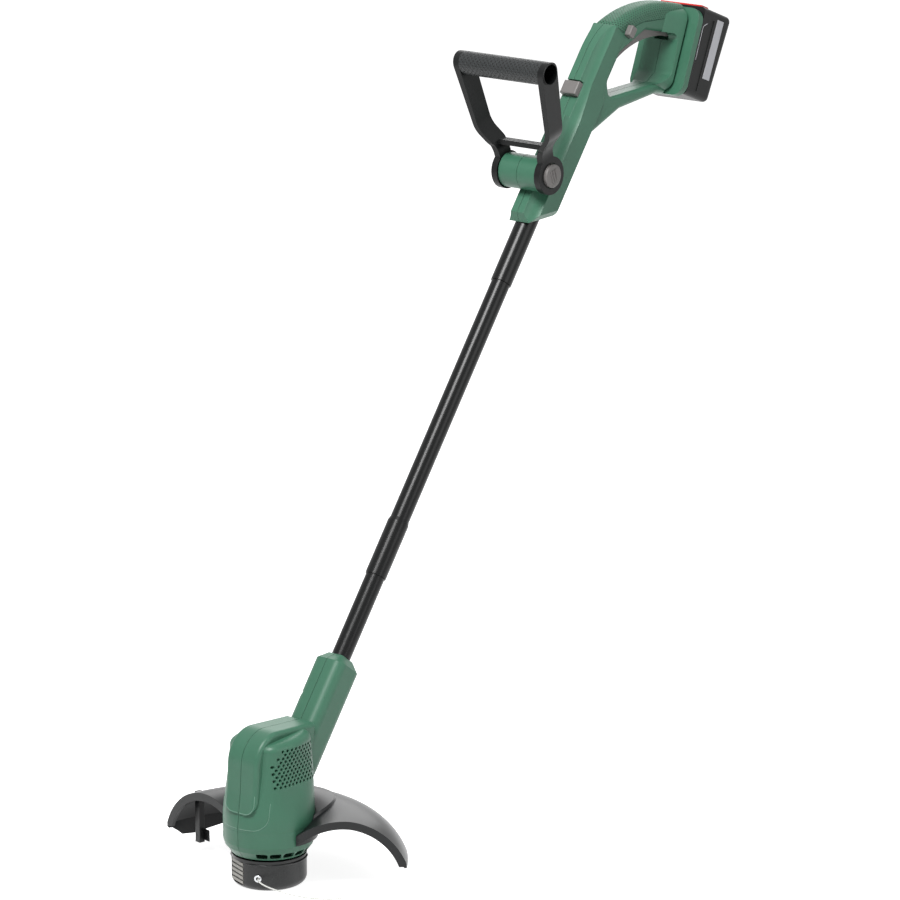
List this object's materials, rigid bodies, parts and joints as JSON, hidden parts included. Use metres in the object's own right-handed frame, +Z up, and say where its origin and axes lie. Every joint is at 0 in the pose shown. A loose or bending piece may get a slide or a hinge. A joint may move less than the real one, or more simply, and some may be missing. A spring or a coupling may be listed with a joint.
{
  "type": "string trimmer",
  "caption": "Cordless string trimmer with a leaning tubular shaft, loop rear handle, tilting front handle, line-spool cutting head, swept guard and slide-on battery pack.",
  "frame": {"origin": "middle of the spool cap's underside, where it stands on the ground", "axes": "+Z up along the cutting head's axis, +X back towards the user, +Y to the user's right"},
  "size_m": [0.8272, 0.3065, 0.8956],
  "materials": {
    "green_plastic": "fine moulded texture",
    "black_plastic": "satin",
    "guard_plastic": "satin",
    "grey_plastic": "satin",
    "light_grey_plastic": "satin",
    "red_plastic": "gloss",
    "soft_grip": "dimpled",
    "black_grip": "dimpled",
    "black_tube": "satin",
    "steel": "bright",
    "eyelet_metal": "polished",
    "line_nylon": "translucent white",
    "brass": "bright"
  },
  "bodies": {
    "frame": {"head_shell_left": "green_plastic", "head_shell_right": "green_plastic", "head_screws": "steel", "motor_can": "steel", "motor_end_cap": "black_plastic", "guard": "guard_plastic", "line_cutter": "steel", "cutter_screw": "steel", "guard_screws": "steel", "lower_tube": "black_tube", "middle_tube": "black_tube", "upper_tube": "black_tube", "handle_shell_left": "green_plastic", "handle_shell_right": "green_plastic", "handle_screws": "steel", "grip_pad": "soft_grip", "trigger_pin": "steel", "switch": "black_plastic", "terminal_block": "black_plastic", "terminal_blades": "brass"},
    "cutting_head": {"motor_shaft": "steel", "fan": "black_plastic", "drive_hub": "black_plastic", "spool_cap": "black_plastic", "line_eyelet": "eyelet_metal", "spool": "black_plastic", "line_winding": "line_nylon", "spool_spring": "steel", "cutting_line": "line_nylon"},
    "latch_front": {"cap_latch_front": "grey_plastic"},
    "latch_back": {"cap_latch_back": "grey_plastic"},
    "front_handle": {"front_handle_yoke": "black_plastic", "front_grip_sleeve": "black_grip"},
    "lock_button_left": {"lock_button_left": "grey_plastic"},
    "lock_button_right": {"lock_button_right": "grey_plastic"},
    "trigger": {"trigger": "grey_plastic"},
    "lock_off": {"lock_off_button": "grey_plastic"},
    "spine_slider": {"spine_slider": "grey_plastic"},
    "battery": {"battery_lid": "black_plastic", "battery_case": "black_plastic", "battery_inlays": "light_grey_plastic", "battery_cells": "steel"},
    "battery_release": {"battery_release_button": "red_plastic"}
  },
  "joints": [
    {"name": "head_spin", "type": "hinge", "parent": "frame", "child": "cutting_head", "pos_m": [0, 0, 0.03], "axis": [0, 0, 1], "continuous": true},
    {"name": "cap_latch_front_press", "type": "slide", "parent": "cutting_head", "child": "latch_front", "axis": [0.9397, -0.342, 0], "range_m": [0, 0.0025], "stiffness_N_per_m": 800},
    {"name": "cap_latch_back_press", "type": "slide", "parent": "cutting_head", "child": "latch_back", "axis": [-0.9397, 0.342, 0], "range_m": [0, 0.0025], "stiffness_N_per_m": 800},
    {"name": "front_handle_tilt", "type": "hinge", "parent": "frame", "child": "front_handle", "pos_m": [0.44535, 0, 0.72702], "axis": [0, 1, 0], "range_deg": [-60, 35]},
    {"name": "lock_button_left_press", "type": "slide", "parent": "front_handle", "child": "lock_button_left", "axis": [0, 1, 0], "range_m": [0, 0.003], "stiffness_N_per_m": 1200},
    {"name": "lock_button_right_press", "type": "slide", "parent": "front_handle", "child": "lock_button_right", "axis": [0, -1, 0], "range_m": [0, 0.003], "stiffness_N_per_m": 1200},
    {"name": "trigger_pull", "type": "hinge", "parent": "frame", "child": "trigger", "pos_m": [0.69345, 0, 0.85684], "axis": [0, 1, 0], "range_deg": [0, 5], "stiffness_Nm_per_rad": 5},
    {"name": "lock_off_push", "type": "slide", "parent": "frame", "child": "lock_off", "axis": [0, 1, 0], "range_m": [-0.003, 0.003], "stiffness_N_per_m": 1500},
    {"name": "spine_slider_move", "type": "slide", "parent": "frame", "child": "spine_slider", "axis": [0.592, 0, 0.8059], "range_m": [-0.024, 0]},
    {"name": "battery_slide", "type": "slide", "parent": "frame", "child": "battery", "axis": [0.3584, 0, 0.9336], "range_m": [0, 0.12]},
    {"name": "battery_release_press", "type": "slide", "parent": "battery", "child": "battery_release", "axis": [-0.3584, 0, -0.9336], "range_m": [0, 0.0025], "stiffness_N_per_m": 1500}
  ]
}
